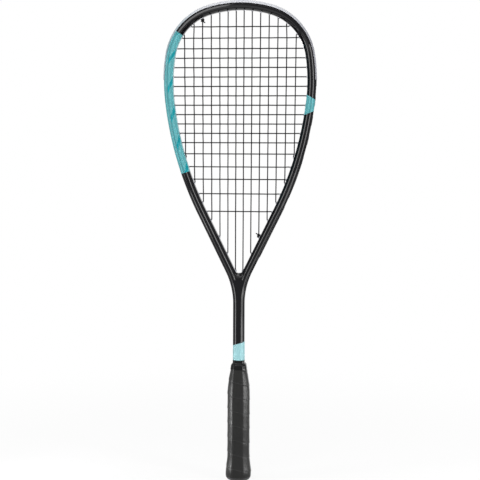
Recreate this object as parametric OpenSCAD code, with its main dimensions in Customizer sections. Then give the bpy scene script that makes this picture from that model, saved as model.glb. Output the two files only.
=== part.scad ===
// Squash racket with a teardrop head and an open throat, strung with one continuous string.
// X runs across the face, Y through its depth and Z from the butt to the crown.
// The origin is the centre of the butt cap's flat end.

/* [Overall] */
// Length from the butt to the top of the bumper guard
overall_len = 686; // [670:1:700]
// Width of the head over the frame tube
head_w = 215; // [205:1:225]

/* [Frame tube] */
// Width of the tube, seen from the front
beam_w = 12.5; // [12.2:0.1:13.5]
// Depth of the tube, through the face
beam_d = 18; // [17:0.5:20]
// Corner radius of the tube
beam_r = 4.2; // [3.4:0.1:4.3]
// Wall of the hollow tube
wall = 1.3; // [1:0.1:1.5]
// Radius of the crown
crown_r = 154; // [148:1:165]
// Half angle of the crown
crown_a = 16.4; // [14:0.2:18]
// Angle that each shoulder turns through
shoulder_a = 64.6; // [62:0.2:67]
// Radius of each cheek, at the widest part of the head
cheek_r = 240; // [210:5:270]
// Angle that each cheek turns through
cheek_a = 15.6; // [13:0.2:17]
// Radius of each lower side
side_r = 477; // [450:1:500]

/* [Throat and shaft] */
// Angle of each leg from the vertical
leg_a = 26.1; // [25:0.1:27]
// Radius where each leg sweeps into the shaft
throat_r = 110; // [100:1:120]
// Radius in the bottom of the notch between the legs
notch_r = 6.5; // [5:0.1:7.5]
// Width of the shaft
shaft_w = 16.3; // [15.5:0.1:16.5]

/* [String bed] */
// Thickness of the string
string_d = 1.25; // [1.05:0.05:1.35]
// Gap between the two middle mains
main_gap = 11.1; // [10.6:0.1:11.6]
// How much each gap between mains grows towards the sides
main_growth = 0.32; // [0.2:0.02:0.4]
// How much the mains draw together in each 100 mm down the head, as a fraction
main_fan = 0.0115; // [0:0.0005:0.015]
// Height from the first cross to the crown's middle line
first_cross = 29.5; // [29:0.5:31]
// Gap between crosses in the middle of the bed
cross_gap = 13.2; // [12.9:0.1:13.4]
// Growth of each of the two topmost gaps
cross_top_growth = 1.4; // [1:0.1:1.8]
// Growth of each of the five lowest gaps
cross_low_growth = 2.2; // [2:0.1:2.4]

/* [Guard and grommets] */
// How far the bumper guard stands proud of the frame
guard_t = 0.9; // [0.7:0.1:1.4]
// How far the bumper guard wraps over the front and the rear of the tube
guard_wrap = 2; // [1.5:0.1:3]
// Angle from the crown at which the bumper guard ends
guard_a = 89.4; // [87:0.2:91]
// Width of the string channel round the outside of the frame
groove_w = 6.4; // [6:0.1:7]
// Depth of the string channel
groove_t = 2.2; // [2:0.1:2.4]
// Thickness of the grommet strips
strip_t = 1; // [0.8:0.1:1.1]
// Bore of a grommet barrel
barrel_bore = 2; // [1.8:0.1:2.2]
// Bore of a tie-off barrel, which takes two strings
tie_bore = 3; // [2.9:0.1:3.2]
// Wall of a grommet barrel
barrel_wall = 0.6; // [0.5:0.05:0.7]
// How far the barrels stand out of the inside of the frame
barrel_out = 0.6; // [0.4:0.1:1]

/* [Handle] */
// Width of the gripped handle
grip_w = 32.6; // [31:0.1:35]
// Depth of the gripped handle
grip_d = 29; // [28:0.1:31]
// Thickness of the grip tape
grip_t = 1.9; // [1.5:0.1:2]
// Height of the top of the grip
grip_top = 168; // [160:1:180]
// Height at which the handle starts to narrow
neck_start = 128; // [118:1:138]
// Width of the flare at the butt
butt_w = 37.4; // [36:0.1:40]
// Wall of the butt cap's skirt
cap_t = 1.6; // [1.4:0.1:1.8]
// Height of the butt cap
cap_h = 27; // [25:1:29]
// Thickness of the butt cap's end
cap_floor = 5; // [4.8:0.1:5.5]
// Height of the lower edge of the grip
grip_low = 6; // [5.8:0.1:7]
// Length of the finishing tape on the grip
tape_on_grip = 6; // [4:0.5:9]
// Length of the finishing tape on the shaft
tape_on_shaft = 5; // [3:0.5:8]
// Thickness of the finishing tape
tape_t = 0.3; // [0.2:0.05:0.5]
// Thickness of the wire of the staples
staple_wire = 0.8; // [0.6:0.1:0.9]
// Span of a staple
staple_span = 8; // [6:0.5:9]

/* [Hidden] */
$fn = 48;

black = "#2b2c2e";
pale_grey = "#c9ccd2";
string_colour = "#222224";
foam_colour = "#d8cda6";

// Clearance of pieces that slip into each other
fit = 0.1;
// Reach of a cutter past the face that it cuts
past = 1;

// The middle line of the tube is a chain of arcs and a straight leg, from the crown down the right.
// Angles turn clockwise from straight up, and a distance d is measured outwards from the middle line.
crown_z = overall_len - guard_t - beam_w / 2;
arc_ends = [0, crown_a, crown_a + shoulder_a, crown_a + shoulder_a + cheek_a, 90 + leg_a];
wide_x = head_w / 2 - beam_w / 2;
shoulder_r = (wide_x - crown_r * sin(arc_ends[1]) - cheek_r * (1 - sin(arc_ends[2])))
             / (sin(arc_ends[2]) - sin(arc_ends[1]));
radii = [crown_r, shoulder_r, cheek_r, side_r];
ARCS = len(radii);

function unit(a) = [sin(a), cos(a)];
function centre(i) = i == 0 ? [0, crown_z - crown_r]
                            : centre(i - 1) + (radii[i - 1] - radii[i]) * unit(arc_ends[i]);
function arc_length(i, a) = radii[i] * (a - arc_ends[i]) * PI / 180;
function start_of(i) = i == 0 ? 0 : start_of(i - 1) + arc_length(i - 1, arc_ends[i]);
centres = [for (i = [0:ARCS - 1]) centre(i)];
starts = [for (i = [0:ARCS]) start_of(i)];

// The legs run straight to the throat, where each sweeps round to the shaft
shaft_x = shaft_w / 2 - beam_w / 2;
leg_from = centres[ARCS - 1] + side_r * unit(90 + leg_a);
leg_to_x = shaft_x + throat_r * (1 - cos(leg_a));
leg_len = (leg_from[0] - leg_to_x) / sin(leg_a);
leg_to_z = leg_from[1] - leg_len * cos(leg_a);
shaft_top = leg_to_z - throat_r * sin(leg_a);
throat_x = shaft_x + throat_r;
notch_z = shaft_top + sqrt(pow(throat_r + beam_w / 2 + notch_r, 2) - pow(throat_x, 2));
chain_len = starts[ARCS] + leg_len;
wide_s = starts[2] + arc_length(2, 90);

function arc_at(s) = s < starts[1] ? 0 : s < starts[2] ? 1 : s < starts[3] ? 2 : s < starts[4] ? 3 : 4;
function angle_at(s) = let (i = arc_at(s))
    i == ARCS ? arc_ends[ARCS] : arc_ends[i] + (s - starts[i]) / radii[i] * 180 / PI;
function point_at(s, d) = let (i = arc_at(s), a = angle_at(s))
    i == ARCS ? leg_from + (s - starts[i]) * [cos(a), -sin(a)] + d * unit(a)
              : centres[i] + (radii[i] + d) * unit(a);

// Where f falls through zero between lo and hi
function crossing_of(f, lo, hi, steps = 32) = let (mid = (lo + hi) / 2)
    steps == 0 ? mid : f(mid) > 0 ? crossing_of(f, mid, hi, steps - 1) : crossing_of(f, lo, mid, steps - 1);

// The string bed: mains are numbered from the middle outwards, crosses from the crown down
SIDE_MAINS = 7;
CROSSES = 18;
SPREAD_TOP_GAPS = 2;
SPREAD_LOW_GAPS = 5;
// Mains whose holes also take the string's two knotted ends
TIE_TOP = 5;
TIE_LOW = 3;
// Height below the crown's middle line at which the gaps between mains are stated
fan_drop = 40;
// Air left where two strings touch
rub = 0.02;
fan_z = crown_z - fan_drop;
cross_z1 = crown_z - first_cross;
turn_d = -(beam_w / 2 + barrel_out + string_d / 2);
floor_d = beam_w / 2 - groove_t;
lie_d = floor_d + strip_t + string_d / 2;
weave = string_d / 2 + rub;
lane = 1.12 * string_d;
tie_side = string_d / 2 + 2 * rub;

function main_x(k, z) = (main_gap * (k - 0.5) + main_growth * k * (k - 1) / 2)
                        * (1 - main_fan * (fan_z - z) / 100);
function gap_below(j) = cross_gap + cross_top_growth * max(0, SPREAD_TOP_GAPS + 1 - j)
                        + cross_low_growth * max(0, j - (CROSSES - 1 - SPREAD_LOW_GAPS));
function cross_z(j) = j == 1 ? cross_z1 : cross_z(j - 1) - gap_below(j - 1);
cross_zs = [for (j = [1:CROSSES]) cross_z(j)];

function top_hole(k) = crossing_of(
    function(s) let (p = point_at(s, turn_d)) main_x(k, p[1]) - p[0], 0, wide_s);
function low_hole(k) = crossing_of(
    function(s) let (p = point_at(s, turn_d)) p[0] - main_x(k, p[1]), wide_s, chain_len);
function cross_hole(j) = crossing_of(
    function(s) point_at(s, turn_d)[1] - cross_zs[j - 1], 0, chain_len);
cross_holes = [for (j = [1:CROSSES]) cross_hole(j)];
// A main's hole keeps clear of the nearest cross's hole, on the side towards the main's end
hole_gap = 5.5;
function clear_of_crosses(s, way) = let (near = [for (c = cross_holes) if (abs(s - c) < hole_gap) c])
    len(near) == 0 ? s : near[0] + way * hole_gap;
top_holes = [for (k = [1:SIDE_MAINS]) clear_of_crosses(top_hole(k), -1)];
low_holes = [for (k = [1:SIDE_MAINS]) k == 1 ? chain_len : clear_of_crosses(low_hole(k), 1)];

// Every hole on one side, as its place along the tube and its barrel's bore
holes = concat(
    [for (k = [1:SIDE_MAINS]) [top_holes[k - 1], k == TIE_TOP ? tie_bore : barrel_bore]],
    [for (k = [2:SIDE_MAINS]) [low_holes[k - 1], k == TIE_LOW ? tie_bore : barrel_bore]],
    [for (j = [1:CROSSES]) [cross_holes[j - 1], barrel_bore]]);
guard_s = starts[2] + arc_length(2, guard_a);
strip_tail = 8;
strip_end = low_holes[1] + strip_tail;

// The two middle mains turn back through a bent barrel under the notch
notch_floor = notch_z - notch_r;
bend_drop = 4;
bend_rise = 4.5;
bend_z = notch_floor - bend_drop;
bend_x = main_x(1, bend_z);
bend_tip = notch_floor + bend_rise;

// Crosses that a main passes
cross_room = 2 * string_d;
function passes(k, j) = let (z = cross_zs[j - 1])
    z < point_at(top_holes[k - 1], turn_d)[1] - cross_room
    && (k == 1 || z > point_at(low_holes[k - 1], turn_d)[1] + cross_room);

// Places on the string's route: side is -1 on the left and 1 on the right, y is the depth
function place(side, s, d, y) = let (p = point_at(s, d)) [side * p[0], y, p[1]];
function over(main, j) = (main + j) % 2 == 0 ? 1 : -1;
function side_of(main) = main > SIDE_MAINS ? 1 : -1;
function from_middle(main) = main > SIDE_MAINS ? main - SIDE_MAINS : SIDE_MAINS + 1 - main;
function through(side, s, y) = [place(side, s, lie_d, y), place(side, s, turn_d, y)];

// The string lies along the outside of the tube from one hole to the next
lead = 1.8 * string_d;
lay_step = 9;
function lay(side, from, to, y) = let (
        way = to > from ? 1 : -1,
        a = from + way * lead,
        b = to - way * lead,
        n = max(1, ceil(abs(b - a) / lay_step)))
    [for (i = [0:n]) place(side, a + (b - a) * i / n, lie_d, y)];

// A main from its upper hole to its lower one, over and under the crosses
function down_main(main) = let (k = from_middle(main), side = side_of(main)) concat(
    through(side, top_holes[k - 1], k == TIE_TOP ? tie_side : 0),
    [for (j = [1:CROSSES]) if (passes(k, j))
        [side * main_x(k, cross_zs[j - 1]), over(main, j) * weave, cross_zs[j - 1]]],
    k == 1 ? [[side * main_x(1, bend_tip + bend_drop), 0, bend_tip + bend_drop], [side * bend_x, 0, bend_tip],
              [side * bend_x, 0, bend_z]]
           : reversed(through(side, low_holes[k - 1], k == TIE_LOW ? tie_side : 0)));

// A cross from its left hole to its right one
function right_cross(j) = concat(
    through(-1, cross_holes[j - 1], 0),
    [for (main = [1:2 * SIDE_MAINS]) let (k = from_middle(main)) if (passes(k, j))
        [side_of(main) * main_x(k, cross_zs[j - 1]), -over(main, j) * weave, cross_zs[j - 1]]],
    reversed(through(1, cross_holes[j - 1], 0)));

function reversed(list) = [for (i = [len(list) - 1:-1:0]) list[i]];
function joined(lists) = [for (list = lists) each list];

// Two turns round a main, from the tie-off hole towards the bed, with a short tail
KNOT_TURNS = 2;
KNOT_STEPS = 8;
knot_r = 1.1 * string_d;
knot_pitch = 1.15 * string_d;
knot_drop = 1.6 * string_d;
tail_reach = 2.4 * string_d;
tail_drop = 3.4 * string_d;
function knot(side, k, z, way) = concat(
    [for (i = [0:KNOT_TURNS * KNOT_STEPS]) let (
            t = i / KNOT_STEPS,
            h = z + way * t * knot_pitch)
        [side * (main_x(k, h) - knot_r * sin(360 * t)), tie_side - knot_r * cos(360 * t), h]],
    [[side * (main_x(k, z) - tail_reach), tie_side - knot_r, z + way * tail_drop]]);
function tie_off(side, s, k, way) = let (turn = place(side, s, turn_d, -tie_side)) concat(
    [place(side, s, lie_d, -tie_side), turn],
    knot(side, k, turn[2] + way * knot_drop, way));

// Where the string passes from the last main to the first cross, halfway between their holes
halfway = [place(1, (top_holes[SIDE_MAINS - 1] + cross_holes[0]) / 2, lie_d, 0)];

// The turn of the two middle mains under the notch
BEND_STEPS = 8;
function bend_path() = [for (i = [1:BEND_STEPS - 1]) let (a = 180 * i / BEND_STEPS)
    [-bend_x * cos(a), 0, bend_z - bend_x * sin(a)]];

// What follows a main on the way to the next one: below after odd mains, above after even ones
function after_main(main) = let (
        here = from_middle(main) - 1,
        next = from_middle(main + 1) - 1)
    main == SIDE_MAINS ? bend_path()
    : main % 2 == 1 ? lay(side_of(main), low_holes[here], low_holes[next], lane)
                    : lay(side_of(main), top_holes[here], top_holes[next], lane);
function main_route() = concat(
    reversed(tie_off(-1, top_holes[TIE_TOP - 1], TIE_TOP, -1)),
    lay(-1, top_holes[TIE_TOP - 1], top_holes[TIE_TOP] + 2 * lead, -lane),
    lay(-1, cross_holes[0] - 2 * lead, top_holes[SIDE_MAINS - 1], lane),
    joined([for (main = [1:2 * SIDE_MAINS]) concat(
        main % 2 == 1 ? down_main(main) : reversed(down_main(main)),
        main < 2 * SIDE_MAINS ? after_main(main) : halfway)]));
function cross_route() = concat(
    halfway,
    joined([for (j = [1:CROSSES]) concat(
        j % 2 == 1 ? reversed(right_cross(j)) : right_cross(j),
        j == CROSSES ? lay(1, cross_holes[j - 1], low_holes[TIE_LOW - 1], -lane)
                     : lay(j % 2 == 1 ? -1 : 1, cross_holes[j - 1], cross_holes[j], -lane))]),
    tie_off(1, low_holes[TIE_LOW - 1], TIE_LOW, 1));

// Sharp turns of a route are rounded, and slight ones are left
SHARP_TURN = 40;
TURN_STEPS = 2;
turn_r = 1.6 * string_d;
function turn_of(a, b, c) = acos(max(-1, min(1, dir(a, b) * dir(b, c))));
function dir(a, b) = (b - a) / norm(b - a);
function rounded(route) = let (last = len(route) - 1)
    [for (i = [0:last]) each
        i == 0 || i == last ? [route[i]]
        : let (a = route[i - 1], b = route[i], c = route[i + 1], turn = turn_of(a, b, c))
            turn < SHARP_TURN ? [b]
            : let (
                cut = min(turn_r * tan(turn / 2), 0.45 * norm(b - a), 0.45 * norm(c - b)),
                p = b + cut * dir(b, a),
                q = b + cut * dir(b, c))
              [for (j = [0:TURN_STEPS]) let (t = j / TURN_STEPS)
                pow(1 - t, 2) * p + 2 * t * (1 - t) * b + pow(t, 2) * q]];

// A round cord swept along a route
CORD_SIDES = 8;
module cord(route, d) {
    last = len(route) - 1;
    ways = [for (i = [0:last]) dir(route[max(0, i - 1)], route[min(last, i + 1)])];
    acrosses = [for (i = 0, u = across([0, 1, 0], ways[0]); i <= last;
                     i = i + 1, u = across(u, ways[min(i, last)])) u];
    skin([for (i = [0:last]) let (u = acrosses[i], v = cross(ways[i], u))
        [for (n = [0:CORD_SIDES - 1]) let (a = 360 * n / CORD_SIDES)
            route[i] + d / 2 * (cos(a) * u + sin(a) * v)]]);
}
function across(u, way) = let (w = u - (u * way) * way) w / norm(w);

// A solid through a list of rings, open-ended rings capped or the last ring joined to the first
module skin(rings, closed = false) {
    sides = len(rings[0]);
    last = len(rings) - 1;
    function at(i, n) = (i % len(rings)) * sides + n % sides;
    walls = [for (i = [0:closed ? last : last - 1]) for (n = [0:sides - 1]) each
        [[at(i, n), at(i + 1, n + 1), at(i, n + 1)], [at(i, n), at(i + 1, n), at(i + 1, n + 1)]]];
    caps = closed ? [] : [[for (n = [0:sides - 1]) at(0, n)], [for (n = [sides - 1:-1:0]) at(last, n)]];
    polyhedron(points = joined(rings), faces = concat(walls, caps));
}

// Stations along the tube, close enough together to follow its arcs
CHORD_ERROR = 0.1;
function arc_steps(i) = ceil((arc_ends[i + 1] - arc_ends[i]) / (2 * acos(1 - CHORD_ERROR / radii[i])));
half_stations = concat(
    [for (i = [0:ARCS - 1]) for (n = [0:arc_steps(i) - 1])
        starts[i] + (starts[i + 1] - starts[i]) * n / arc_steps(i)],
    [starts[ARCS], chain_len]);
function stations_between(from, to) = concat(
    [from], [for (s = half_stations) if (s > from + 0.5 && s < to - 0.5) s], [to]);
// From a place on the left over the crown to the same place on the right
function stations_over(to) = let (right = stations_between(0, to))
    concat([for (i = [len(right) - 1:-1:1]) -right[i]], right);
// A place's middle point and outward angle, with places on the left counted below zero
function spot(s) = let (side = s < 0 ? -1 : 1, p = point_at(abs(s), 0))
    [[side * p[0], p[1]], side * angle_at(abs(s))];
function ring_at(spot, outline) =
    [for (o = outline) let (q = spot[0] + o[0] * unit(spot[1])) [q[0], -o[1], q[1]]];

// A flat band that follows the tube between two distances from its middle line
module band(stations, inner, outer, width) {
    function edge(d) = [for (s = stations) let (at = spot(s)) at[0] + d * unit(at[1])];
    rotate([90, 0, 0])
        linear_extrude(width, center = true)
            polygon(concat(edge(outer), reversed(edge(inner))));
}

// Outlines across the tube, as distance outwards and depth
CORNER_STEPS = 3;
function corner(x, y, r, a0, a1) = [for (i = [0:CORNER_STEPS]) let (a = a0 + (a1 - a0) * i / CORNER_STEPS)
    [x + r * cos(a), y + r * sin(a)]];
corner_x = beam_w / 2 - beam_r;
corner_y = beam_d / 2 - beam_r;
tube_outline = concat(
    corner(corner_x, corner_y, beam_r, 0, 90), corner(-corner_x, corner_y, beam_r, 90, 180),
    corner(-corner_x, -corner_y, beam_r, 180, 270), corner(corner_x, -corner_y, beam_r, 270, 360));
wrap_a = acos(1 - guard_wrap / beam_r);
channel = lane + string_d / 2 + 2 * fit;
in_groove = groove_w / 2 - fit;
guard_outline = concat(
    corner(corner_x, -corner_y, beam_r + guard_t, -wrap_a, 0),
    [[beam_w / 2 + guard_t, -channel], [floor_d + strip_t, -channel],
     [floor_d + strip_t, channel], [beam_w / 2 + guard_t, channel]],
    corner(corner_x, corner_y, beam_r + guard_t, 0, wrap_a),
    corner(corner_x, corner_y, beam_r, wrap_a, 0),
    [[beam_w / 2, in_groove], [floor_d, in_groove], [floor_d, -in_groove], [beam_w / 2, -in_groove]],
    corner(corner_x, -corner_y, beam_r, 0, -wrap_a));
module rounded_box(w, d, r) {
    square([w, d - 2 * r], center = true);
    square([w - 2 * r, d], center = true);
    for (x = [-1, 1], y = [-1, 1])
        translate([x * (w / 2 - r), y * (d / 2 - r)])
            circle(r);
}

module both_sides() {
    children();
    mirror([1, 0, 0])
        children();
}
module at_hole(s) {
    p = point_at(s, 0);
    translate([p[0], 0, p[1]])
        rotate([0, angle_at(s), 0])
            children();
}

// Moulded graphite tube: one hollow hoop whose two legs run together into the shaft
THROAT_STEPS = 6;
solid_throat = 26;
solid_neck = 12;
// Right half from the crown to the end of the shaft, flat where it meets the left half
module half_tube() {
    throat = [for (i = [1:THROAT_STEPS]) let (a = 90 + leg_a * (1 - i / THROAT_STEPS))
        [[throat_x, shaft_top] - throat_r * unit(a), a]];
    spots = concat([for (s = half_stations) spot(s)], throat, [[[shaft_x, cap_floor], 90]]);
    skin([for (at = spots) [for (p = ring_at(at, tube_outline)) [max(0, p[0]), p[1], p[2]]]]);
}
module frame() {
    inner = -beam_w / 2 + wall;
    hollow_d = beam_d - 2 * wall;
    hollow_step = 0.6 * (beam_r - wall);
    color(black) difference() {
        union() {
            both_sides()
                half_tube();
            throat_web();
        }
        band(stations_over(strip_end + fit), floor_d, beam_w / 2 + past, groove_w);
        band(stations_over(chain_len - solid_throat), inner, floor_d - wall, hollow_d - 2 * hollow_step);
        band(stations_over(chain_len - solid_throat), inner + hollow_step, floor_d - wall, hollow_d);
        both_sides()
            for (hole = holes)
                at_hole(hole[0])
                    cylinder(d = barrel_d(hole[1]) + 2 * fit, h = beam_w + 2 * past, center = true);
        translate([0, 0, cap_floor - past])
            linear_extrude(shaft_top - solid_neck - cap_floor + past)
                rounded_box(shaft_w - 2 * wall, beam_d - 2 * wall, beam_r - wall);
        bent_barrel(barrel_d(barrel_bore) + 2 * fit, bend_tip + past);
    }
}
// Web that rounds off the bottom of the notch, rooted in both legs
web_root = 2;
module throat_web() {
    reach = throat_r + beam_w / 2;
    share = reach / (reach + notch_r);
    side = [throat_x * (1 - share) + web_root, shaft_top + (notch_z - shaft_top) * share];
    apex = shaft_top + sqrt(pow(reach, 2) - pow(throat_x, 2)) - 2 * web_root;
    rotate([90, 0, 0])
        linear_extrude(beam_d / 2, center = true)
            difference() {
                polygon([[0, apex], side, [-side[0], side[1]]]);
                translate([0, notch_z])
                    circle(notch_r);
            }
}

// Grommets: barrels that line the string holes
function barrel_d(bore) = bore + 2 * barrel_wall;
module barrel(bore) {
    translate([0, 0, -beam_w / 2 - barrel_out])
        cylinder(d = barrel_d(bore), h = beam_w / 2 + barrel_out + floor_d + strip_t / 2);
}
module barrel_hole(bore) {
    flare = 0.6;
    translate([0, 0, -beam_w])
        cylinder(d = bore, h = 2 * beam_w);
    translate([0, 0, floor_d + strip_t - flare])
        cylinder(d1 = bore, d2 = bore + 4 * flare, h = 2 * flare);
}
module bent_barrel(d, tip) {
    both_sides()
        translate([bend_x, 0, bend_z])
            cylinder(d = d, h = tip - bend_z);
    translate([0, 0, bend_z])
        rotate([90, 0, 0])
            rotate([0, 0, 180])
                rotate_extrude(angle = 180)
                    translate([bend_x, 0])
                        circle(d = d);
}

// Nylon guard over the crown, with its grommet barrels moulded on
module bumper_guard() {
    color(pale_grey) difference() {
        union() {
            skin([for (s = stations_over(guard_s)) ring_at(spot(s), guard_outline)]);
            both_sides()
                for (hole = holes)
                    if (hole[0] < guard_s)
                        at_hole(hole[0])
                            barrel(hole[1]);
        }
        both_sides()
            for (hole = holes)
                if (hole[0] < guard_s)
                    at_hole(hole[0])
                        barrel_hole(hole[1]);
    }
}

// Nylon strip down one side, with its grommet barrels moulded on
module grommet_strip() {
    color(pale_grey) difference() {
        union() {
            band(stations_between(guard_s + 2 * fit, strip_end), floor_d, floor_d + strip_t, 2 * in_groove);
            for (hole = holes)
                if (hole[0] > guard_s)
                    at_hole(hole[0])
                        barrel(hole[1]);
        }
        for (hole = holes)
            if (hole[0] > guard_s)
                at_hole(hole[0])
                    barrel_hole(hole[1]);
    }
}
module right_grommet_strip() {
    grommet_strip();
}
module left_grommet_strip() {
    mirror([1, 0, 0])
        grommet_strip();
}
module throat_grommet() {
    color(pale_grey) difference() {
        bent_barrel(barrel_d(barrel_bore), bend_tip);
        bent_barrel(barrel_bore, bend_tip + past);
    }
}

// The one string: its fourteen mains, from the knot at the crown's left to the last main
module main_string() {
    color(string_colour) cord(rounded(main_route()), string_d);
}
// The same string's eighteen crosses, to the knot low on the right
module cross_string() {
    color(string_colour) cord(rounded(cross_route()), string_d);
}

// Handle: eight-sided rings, each a width, a depth and the cut of its corners
MITRE = 2 - sqrt(2);
CORNER = 0.256;
flare_z = 13;
flare_end = 34;
butt_d = butt_w - grip_w + grip_d;
neck_w = shaft_w + 2 * grip_t + 1.5;
neck_d = beam_d + 2 * grip_t + 1.4;
neck_corner = MITRE * (beam_r + grip_t + 2);
neck_swell = 0.7;
handle_rows = [
    [grip_low, butt_w, butt_d, CORNER * butt_w],
    [flare_z, butt_w, butt_d, CORNER * butt_w],
    [flare_end, grip_w, grip_d, CORNER * grip_w],
    [neck_start, grip_w, grip_d, CORNER * grip_w],
    [(neck_start + grip_top) / 2, (grip_w + neck_w) / 2 + neck_swell,
     (grip_d + neck_d) / 2 + neck_swell, (CORNER * grip_w + neck_corner) / 2],
    [grip_top, neck_w, neck_d, neck_corner]];
handle_zs = [for (row = handle_rows) row[0]];
seat = 0.02;

function octagon(w, d, c, z) = [
    [w / 2, c - d / 2, z], [w / 2, d / 2 - c, z], [w / 2 - c, d / 2, z], [c - w / 2, d / 2, z],
    [-w / 2, d / 2 - c, z], [-w / 2, c - d / 2, z], [c - w / 2, -d / 2, z], [w / 2 - c, -d / 2, z]];
function handle_size(z, column) = lookup(z, [for (row = handle_rows) [row[0], row[column]]]);
function handle_ring(z, inset) = octagon(
    handle_size(z, 1) - 2 * inset, handle_size(z, 2) - 2 * inset, handle_size(z, 3) - MITRE * inset, z);
function shaft_ring(z, gap) = octagon(
    shaft_w + 2 * gap, beam_d + 2 * gap, MITRE * (beam_r + gap), z);
function butt_ring(a) = octagon(
    butt_w - 2 * grip_low * (1 - sin(a)), butt_d - 2 * grip_low * (1 - sin(a)),
    CORNER * butt_w - MITRE * grip_low * (1 - sin(a)), grip_low * (1 - cos(a)));

// Foam pallet moulded on the end of the shaft
module handle_pallet() {
    in_cap = grip_t + cap_t + seat;
    color(foam_colour) difference() {
        skin(concat(
            [for (z = [cap_floor + seat, flare_z, cap_h + seat]) handle_ring(z, in_cap)],
            [for (z = concat([cap_h + seat], [for (z = handle_zs) if (z > cap_h) z]))
                handle_ring(z, grip_t + seat)],
            [shaft_ring(grip_top, seat), shaft_ring(cap_floor + seat, seat)]),
            closed = true);
        staples(fit);
        start_staple(fit);
    }
}

// Moulded cap over the end of the pallet, flared to stop the hand
module butt_cap() {
    color(black) difference() {
        skin(concat(
            [for (a = [0:22.5:90]) butt_ring(a)],
            [for (z = [grip_low, flare_z, cap_h]) handle_ring(z, grip_t + seat)],
            [for (z = [cap_h, flare_z, cap_floor]) handle_ring(z, grip_t + cap_t)]));
        staples(fit);
        start_staple(fit);
    }
}

// Round-wire staples: two hold the cap to the pallet and one holds the start of the grip
staple_z = 21;
staple_leg = 4.2;
module staple(face, room) {
    d = staple_wire + 2 * room;
    translate([face - staple_wire / 2 - fit, 0, 0]) {
        rotate([90, 0, 0])
            cylinder(d = d, h = staple_span, center = true);
        for (side = [-1, 1])
            translate([0, side * staple_span / 2, 0]) {
                rotate([0, -90, 0])
                    cylinder(d = d, h = staple_leg + room);
                sphere(d = d);
            }
        if (room > 0)
            translate([0, -staple_span / 2 - d / 2, -d / 2])
                cube([d, staple_span + d, d]);
    }
}
module staples(room = 0) {
    face = handle_size(staple_z, 1) / 2 - grip_t;
    for (turn = [0, 180])
        rotate([0, 0, turn])
            translate([0, 0, staple_z])
                staple(face, room);
}
module start_staple(room = 0) {
    rotate([0, 0, 90])
        translate([0, 0, flare_z - 2])
            staple(butt_d / 2 - grip_t, room);
}
module butt_cap_staples() {
    color("silver") staples();
}
module grip_start_staple() {
    color("silver") start_staple();
}

// Cushioned grip tape, wound from the butt to the neck
module grip_tape() {
    color(black) skin(concat(
        [for (z = handle_zs) handle_ring(z, 0)],
        [for (i = [len(handle_zs) - 1:-1:0]) handle_ring(handle_zs[i], grip_t)]),
        closed = true);
}

// Glossy tape that holds the end of the grip to the shaft
module finishing_tape() {
    low = grip_top - tape_on_grip;
    top = grip_top + tape_on_shaft;
    step = 1.5;
    color(black) skin([
        handle_ring(low, -tape_t), handle_ring(grip_top, -tape_t),
        shaft_ring(grip_top + step, seat + tape_t), shaft_ring(top, seat + tape_t),
        shaft_ring(top, seat), shaft_ring(grip_top + seat, seat),
        octagon(neck_w, neck_d, neck_corner, grip_top + seat), handle_ring(low, -seat)],
        closed = true);
}

frame();
bumper_guard();
left_grommet_strip();
right_grommet_strip();
throat_grommet();
main_string();
cross_string();
handle_pallet();
butt_cap();
butt_cap_staples();
grip_start_staple();
grip_tape();
finishing_tape();
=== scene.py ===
import math

import bmesh
import bpy
import numpy as np
from mathutils import Matrix, Vector


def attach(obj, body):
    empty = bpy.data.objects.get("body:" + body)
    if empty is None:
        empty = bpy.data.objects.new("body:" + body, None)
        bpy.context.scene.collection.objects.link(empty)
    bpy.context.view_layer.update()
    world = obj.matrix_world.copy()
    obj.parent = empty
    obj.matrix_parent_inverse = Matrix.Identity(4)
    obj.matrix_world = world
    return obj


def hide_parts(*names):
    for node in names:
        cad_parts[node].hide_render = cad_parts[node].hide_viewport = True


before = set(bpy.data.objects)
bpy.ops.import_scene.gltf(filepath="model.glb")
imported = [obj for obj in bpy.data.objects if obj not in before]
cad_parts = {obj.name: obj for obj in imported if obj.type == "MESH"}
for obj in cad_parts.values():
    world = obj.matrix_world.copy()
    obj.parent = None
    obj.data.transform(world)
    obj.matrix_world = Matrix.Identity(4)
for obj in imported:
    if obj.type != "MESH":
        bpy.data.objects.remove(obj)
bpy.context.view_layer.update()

# Frame: one hollow graphite tube, moulded to a hoop whose two legs run together into the shaft.
# It is lacquered gloss black with turquoise fields, and the shaft's end is glued into the handle.
# All sizes are in millimetres until a piece is made of them.
racket_length, head_width = 686, 215
tube_width, tube_depth, tube_corner = 12.5, 18, 4.2
shaft_width, shaft_foot = 16.3, 5
throat_bend, leg_lean, notch_radius = 110, math.radians(26.1), 6.5
groove_width, groove_depth = 6.4, 2.2
guard_proud = 0.9
tube_half, tube_front = tube_width / 2, tube_depth / 2


def outward(turn):
    return np.array([math.sin(turn), math.cos(turn)])


def onward(turn):
    return np.array([math.cos(turn), -math.sin(turn)])


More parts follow.
